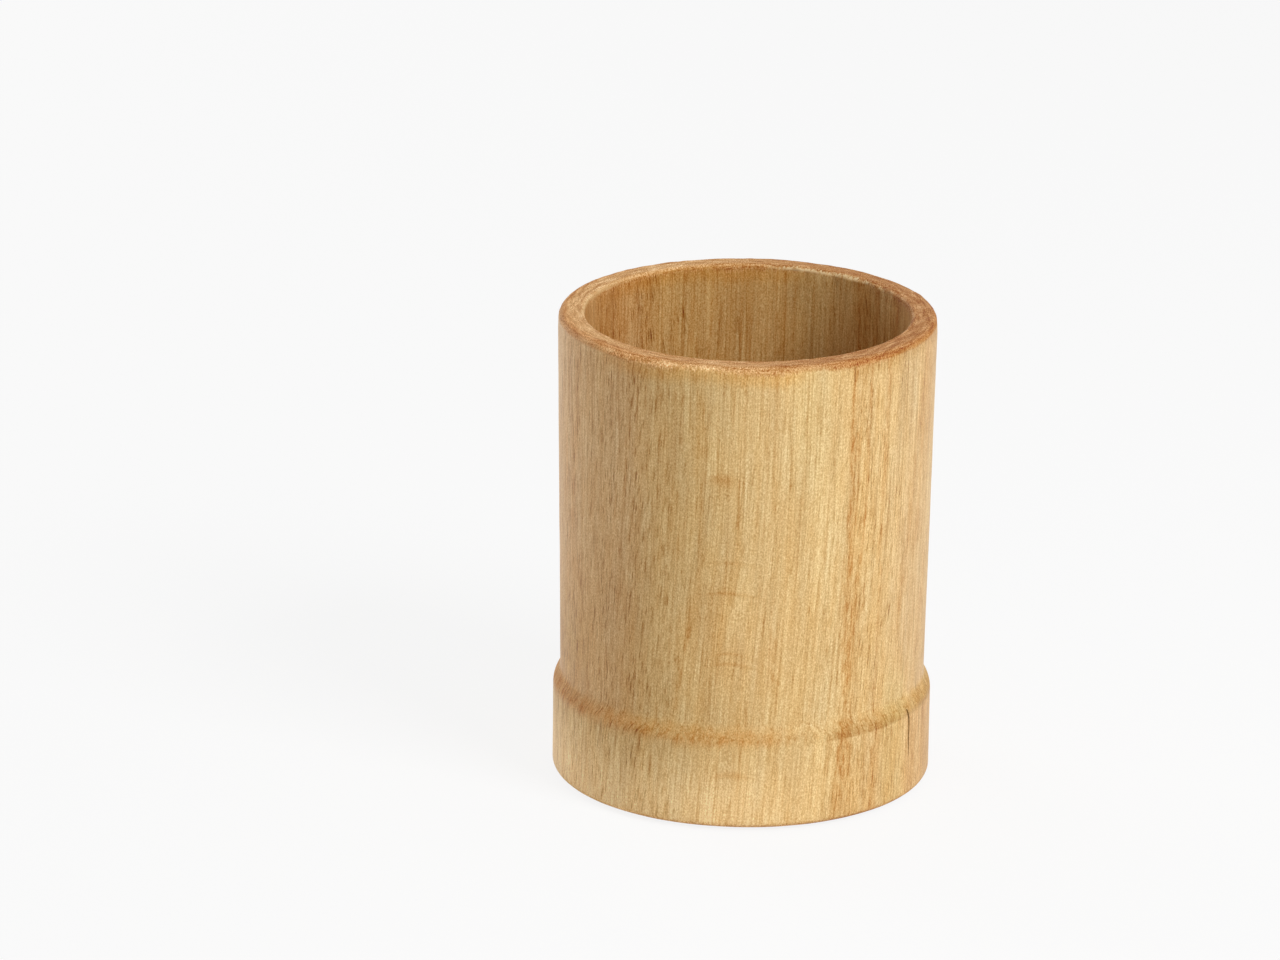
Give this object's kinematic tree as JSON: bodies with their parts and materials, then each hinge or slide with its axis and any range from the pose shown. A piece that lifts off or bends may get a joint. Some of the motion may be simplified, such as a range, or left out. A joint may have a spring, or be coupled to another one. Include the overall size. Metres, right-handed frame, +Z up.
{
  "type": "pen stand",
  "caption": "Round turned wooden pen stand with a rounded rim, slightly tapered wall and stepped foot, closed by a glued-in base on a felt pad.",
  "frame": {"origin": "centre of the round footprint, on the surface that the stand rests on", "axes": "+Z up along the axis of the cup, out of its mouth; +X and +Y are free, because the cup is round"},
  "size_m": [0.0709, 0.0708, 0.0896],
  "materials": {
    "beech": "clear satin lacquer on light beech",
    "base_ply": "sanded beech plywood, unlacquered",
    "felt": "dark brown needled felt"
  },
  "bodies": {
    "root": {"cup_wall": "beech", "base_disc": "base_ply", "felt_pad": "felt"}
  },
  "joints": []
}
